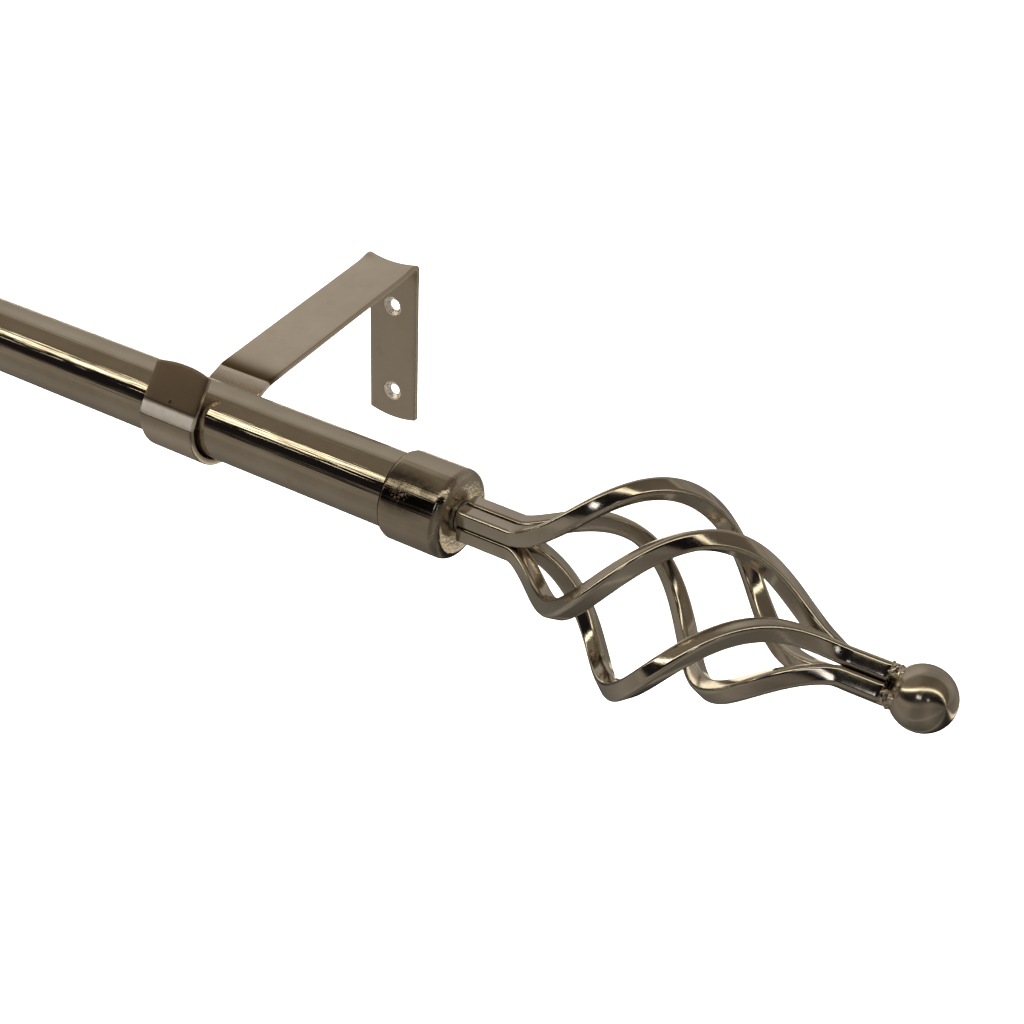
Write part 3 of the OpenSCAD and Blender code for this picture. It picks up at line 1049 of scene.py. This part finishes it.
# Thin soft lines that leave out the left third: (height in degrees, strength).
SIDE_LINES = (
    (-180, 0.0),
    (-124, 0.0),
    (-120, 0.22),
    (-116, 0.0),
    (-64, 0.0),
    (-60, 0.16),
    (-56, 0.0),
    (106, 0.0),
    (110, 0.28),
    (114, 0.0),
    (154, 0.0),
    (158, 0.20),
    (162, 0.0),
)


# Strength across the world, from 0 at its left end to 1 at its right end.
DIMS = ((0.0, 1.1), (0.28, 1.0), (0.42, 0.66), (0.6, 0.60), (0.8, 0.85), (1.0, 0.5))

# The bands lean by TILT radians over one unit of X, and are level at X = -TILT_ZERO.
TILT = 0.45
TILT_ZERO = 0.55
LINE_TINT = (1.0, 0.93, 0.78)


def make_world():
    """Soft studio seen by the metal: bands by height, tilted and dimmed toward the right."""
    world = bpy.data.worlds.new("studio")
    scene.world = world
    world.use_nodes = True
    tree = world.node_tree

    def math_node(kind, a, b):
        node = tree.nodes.new("ShaderNodeMath")
        node.operation = kind
        for i, value in enumerate((a, b)):
            if isinstance(value, float):
                node.inputs[i].default_value = value
            else:
                tree.links.new(value, node.inputs[i])
        return node.outputs[0]

    def ramp_node(fac, stops):
        ramp = tree.nodes.new("ShaderNodeValToRGB")
        parts = ramp.color_ramp.elements
        while len(parts) < len(stops):
            parts.new(0.5)
        for part, (at, colour) in zip(parts, stops):
            part.position = at
            part.color = (*colour, 1)
        tree.links.new(fac, ramp.inputs["Fac"])
        return ramp.outputs["Color"]

    def mix_node(kind, a, b):
        # The Mix node's sockets share names: 0 is its factor, 6 and 7 its colours, 2 its colour out.
        node = tree.nodes.new("ShaderNodeMix")
        node.data_type = "RGBA"
        node.blend_type = kind
        node.inputs[0].default_value = 1.0
        tree.links.new(a, node.inputs[6])
        tree.links.new(b, node.inputs[7])
        return node.outputs[2]

    coords = tree.nodes.new("ShaderNodeTexCoord")
    split = tree.nodes.new("ShaderNodeSeparateXYZ")
    tree.links.new(coords.outputs["Generated"], split.inputs[0])
    front = math_node("MULTIPLY", split.outputs["Y"], -1.0)
    height = math_node("ARCTAN2", split.outputs["Z"], front)
    tilt = math_node("MULTIPLY", math_node("ADD", split.outputs["X"], TILT_ZERO), TILT)
    height = math_node("SUBTRACT", height, tilt)
    share = math_node("ADD", math_node("MULTIPLY", height, 0.5 / math.pi), 0.5)
    bands = ramp_node(share, [((deg + 180) / 360, colour) for deg, colour in WORLD_BANDS])
    across = math_node("ADD", math_node("MULTIPLY", split.outputs["X"], 0.5), 0.5)
    fade = ramp_node(across, [(at, (v, v, v)) for at, v in DIMS])
    stops = [((deg + 180) / 360, tuple(v * c for c in LINE_TINT)) for deg, v in SIDE_LINES]
    lines = ramp_node(share, stops)
    near_side = ramp_node(across, [(0.34, (0, 0, 0)), (0.40, (1, 1, 1)), (1.0, (1, 1, 1))])
    dimmed = mix_node("MULTIPLY", bands, fade)
    striped = mix_node("ADD", dimmed, mix_node("MULTIPLY", lines, near_side))
    tree.links.new(striped, tree.nodes["Background"].inputs["Color"])


def softbox(name, place, aim, width, power, glossy=False):
    """A square area light, width across, that looks at a point. A glossy one shows in the metal."""
    light = bpy.data.lights.new(name, "AREA")
    light.size = width
    light.energy = power
    obj = bpy.data.objects.new(name, light)
    obj.location = place
    obj.rotation_euler = (Vector(aim) - Vector(place)).to_track_quat("-Z", "Y").to_euler()
    obj.visible_glossy = glossy
    obj.visible_camera = False
    scene.collection.objects.link(obj)


WINDOWS_FAR = 2.5
TIP = Vector((0.65, AXIS.y, AXIS.z))

make_camera()
make_floor()
make_world()
softbox("top_fill", (0.3, -0.4, 3.4), (0.3, 0.0, 0.0), 4.0, 420.0)
softbox("key", (-1.6, -2.2, 2.6), (0.3, -0.1, 0.0), 0.8, 26.0)
softbox("window", TIP + Vector((-0.10, -0.80, 0.58)) * WINDOWS_FAR, TIP, 0.36, 0.75, glossy=True)
softbox("far_window", TIP + Vector((0.42, -0.70, 0.55)) * WINDOWS_FAR, TIP, 0.22, 0.2, glossy=True)
scene.view_settings.view_transform = "Standard"
